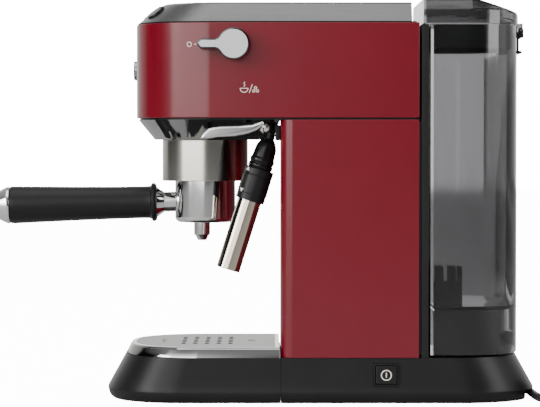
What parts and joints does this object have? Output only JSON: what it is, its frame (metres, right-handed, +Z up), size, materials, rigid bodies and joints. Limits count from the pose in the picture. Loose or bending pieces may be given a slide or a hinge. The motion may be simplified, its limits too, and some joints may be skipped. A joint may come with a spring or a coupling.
{
  "type": "espresso machine",
  "caption": "Slim pump espresso machine with a lever-handled filter holder, swing-out steam wand, lift-out water tank and pull-out drip tray.",
  "frame": {"origin": "on the surface that the machine stands on, in its middle plane, about halfway between the front and the back of its base", "axes": "+Z up; the front, with the filter holder's handle, faces -Y; +X is the user's right, where the steam wand, steam knob and power key are"},
  "size_m": [0.1706, 0.5171, 0.3044],
  "materials": {
    "red_paint": "satin metallic",
    "black_plastic": "satin moulded",
    "dark_plastic": "fine textured",
    "chrome_plate": "mirror",
    "chrome_plastic": "chromed",
    "brushed_steel": "brushed",
    "satin_steel": "satin",
    "cast_aluminium": "as cast",
    "brass_part": "machined",
    "seal_rubber": "matt",
    "hose_silicone": "matt translucent",
    "smoke_clear": "smoke tinted clear",
    "red_float": "moulded",
    "circuit_green": "solder mask",
    "cord_black": "matt"
  },
  "bodies": {
    "housing": {"base_housing": "black_plastic", "base_floor": "black_plastic", "rubber_feet": "seal_rubber", "base_screws": "satin_steel", "column_shell": "red_paint", "column_frame": "black_plastic", "head_shell": "red_paint", "head_floor": "black_plastic", "head_deck": "black_plastic", "top_plate": "satin_steel", "front_badge": "chrome_plastic", "rear_cover": "black_plastic", "underhead_cover": "chrome_plastic", "wand_bracket": "black_plastic", "group_sleeve": "brushed_steel", "lock_ring": "cast_aluminium", "brew_head": "cast_aluminium", "group_gasket": "seal_rubber", "shower_screen": "satin_steel", "shower_screw": "satin_steel", "steam_valve": "brass_part", "switch_housing": "black_plastic", "tank_seat": "black_plastic", "thermoblock": "cast_aluminium", "pump": "satin_steel", "pump_mounts": "seal_rubber", "control_board": "circuit_green", "water_hoses": "hose_silicone", "cord_gland": "cord_black", "cord": "cord_black", "cord_coil": "cord_black", "plug": "cord_black"},
    "filter_holder": {"portafilter_bowl": "chrome_plate", "filter_basket": "satin_steel", "spout": "chrome_plate", "handle_neck": "chrome_plate", "handle_grip": "black_plastic", "handle_cap": "chrome_plate"},
    "steam_wand": {"wand_pivot": "chrome_plate", "wand_arm": "dark_plastic", "steam_tube": "satin_steel", "wand_sleeve": "brushed_steel"},
    "froth_collar": {"wand_collar": "dark_plastic"},
    "steam_control": {"steam_knob": "satin_steel", "knob_spindle": "satin_steel"},
    "left_key": {"left_button": "dark_plastic"},
    "middle_key": {"middle_button": "dark_plastic"},
    "right_key": {"right_button": "dark_plastic"},
    "power_switch": {"power_key": "dark_plastic"},
    "tray": {"drip_tray": "black_plastic", "tray_rim": "chrome_plastic"},
    "grate": {"cup_grate": "brushed_steel"},
    "float": {"tray_float": "red_float"},
    "tank": {"water_tank": "smoke_clear", "tank_handle": "black_plastic", "tank_valve": "black_plastic", "filter_cup": "black_plastic", "tank_hinge": "black_plastic", "lid_pin": "satin_steel"},
    "lid": {"tank_lid": "smoke_clear"}
  },
  "joints": [
    {"name": "filter_holder_turn", "type": "hinge", "parent": "housing", "child": "filter_holder", "pos_m": [0, -0.09, 0.18], "axis": [0, 0, 1], "range_deg": [-45, 0]},
    {"name": "steam_knob_turn", "type": "hinge", "parent": "housing", "child": "steam_control", "pos_m": [0.08, -0.0667, 0.27], "axis": [1, 0, 0], "range_deg": [0, 110]},
    {"name": "wand_swing", "type": "hinge", "parent": "housing", "child": "steam_wand", "pos_m": [0.052, -0.0426, 0.2], "axis": [0, 0, 1], "range_deg": [0, 80]},
    {"name": "collar_turn", "type": "hinge", "parent": "steam_wand", "child": "froth_collar", "pos_m": [0.052, -0.0474, 0.1766], "axis": [0, 0.3007, 0.9537], "range_deg": [0, 45]},
    {"name": "left_button_push", "type": "slide", "parent": "housing", "child": "left_key", "axis": [0.2606, 0.5852, -0.7679], "range_m": [0, 0.0012], "stiffness_N_per_m": 400, "springref_m": -0.001},
    {"name": "middle_button_push", "type": "slide", "parent": "housing", "child": "middle_key", "axis": [0, 0.6406, -0.7679], "range_m": [0, 0.0012], "stiffness_N_per_m": 400, "springref_m": -0.001},
    {"name": "right_button_push", "type": "slide", "parent": "housing", "child": "right_key", "axis": [-0.2606, 0.5852, -0.7679], "range_m": [0, 0.0012], "stiffness_N_per_m": 400, "springref_m": -0.001},
    {"name": "power_key_push", "type": "slide", "parent": "housing", "child": "power_switch", "axis": [-1, 0, 0], "range_m": [0, 0.0015], "stiffness_N_per_m": 500, "springref_m": -0.001},
    {"name": "drip_tray_slide", "type": "slide", "parent": "housing", "child": "tray", "axis": [0, -1, 0], "range_m": [0, 0.14]},
    {"name": "cup_grate_lift", "type": "slide", "parent": "tray", "child": "grate", "axis": [0, 0, 1], "range_m": [0, 0.05]},
    {"name": "level_float_rise", "type": "slide", "parent": "tray", "child": "float", "axis": [0, 0, 1], "range_m": [0, 0.008]},
    {"name": "water_tank_lift", "type": "slide", "parent": "housing", "child": "tank", "axis": [0, 0, 1], "range_m": [0, 0.27]},
    {"name": "tank_lid_open", "type": "hinge", "parent": "tank", "child": "lid", "pos_m": [0, 0.1544, 0.2832], "axis": [-1, 0, 0], "range_deg": [0, 95]}
  ]
}
